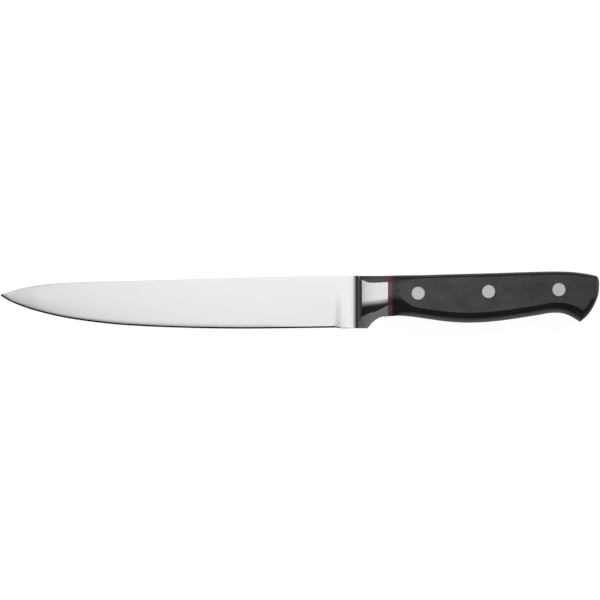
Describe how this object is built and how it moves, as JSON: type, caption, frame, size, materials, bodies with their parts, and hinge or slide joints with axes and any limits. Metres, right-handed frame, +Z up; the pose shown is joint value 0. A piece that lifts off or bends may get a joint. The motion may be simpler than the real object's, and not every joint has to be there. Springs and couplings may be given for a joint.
{
  "type": "carving knife",
  "caption": "Forged carving knife with a long narrow blade, a full bolster, a full tang and riveted black scales with red liners and a beaked butt.",
  "frame": {"origin": "the middle of the knife's box in X and Y, on the surface that the knife lies on", "axes": "+X from the tip to the butt, +Y from the cutting edge to the spine, +Z up through the thickness, from the knife's right side to its left side"},
  "size_m": [0.337, 0.0322, 0.018],
  "materials": {
    "blade_steel": "satin ground blade, polished bolster",
    "scale_plastic": "black moulded acetal, its flats ground matte",
    "liner_plastic": "dark red, polished edges",
    "rivet_steel": "ground flush"
  },
  "bodies": {
    "root": {"blade": "blade_steel", "left_scale": "scale_plastic", "right_scale": "scale_plastic", "left_liner": "liner_plastic", "right_liner": "liner_plastic", "left_spacer": "liner_plastic", "right_spacer": "liner_plastic", "front_rivet_tube": "rivet_steel", "front_rivet_pin": "rivet_steel", "middle_rivet_tube": "rivet_steel", "middle_rivet_pin": "rivet_steel", "rear_rivet_tube": "rivet_steel", "rear_rivet_pin": "rivet_steel"}
  },
  "joints": []
}
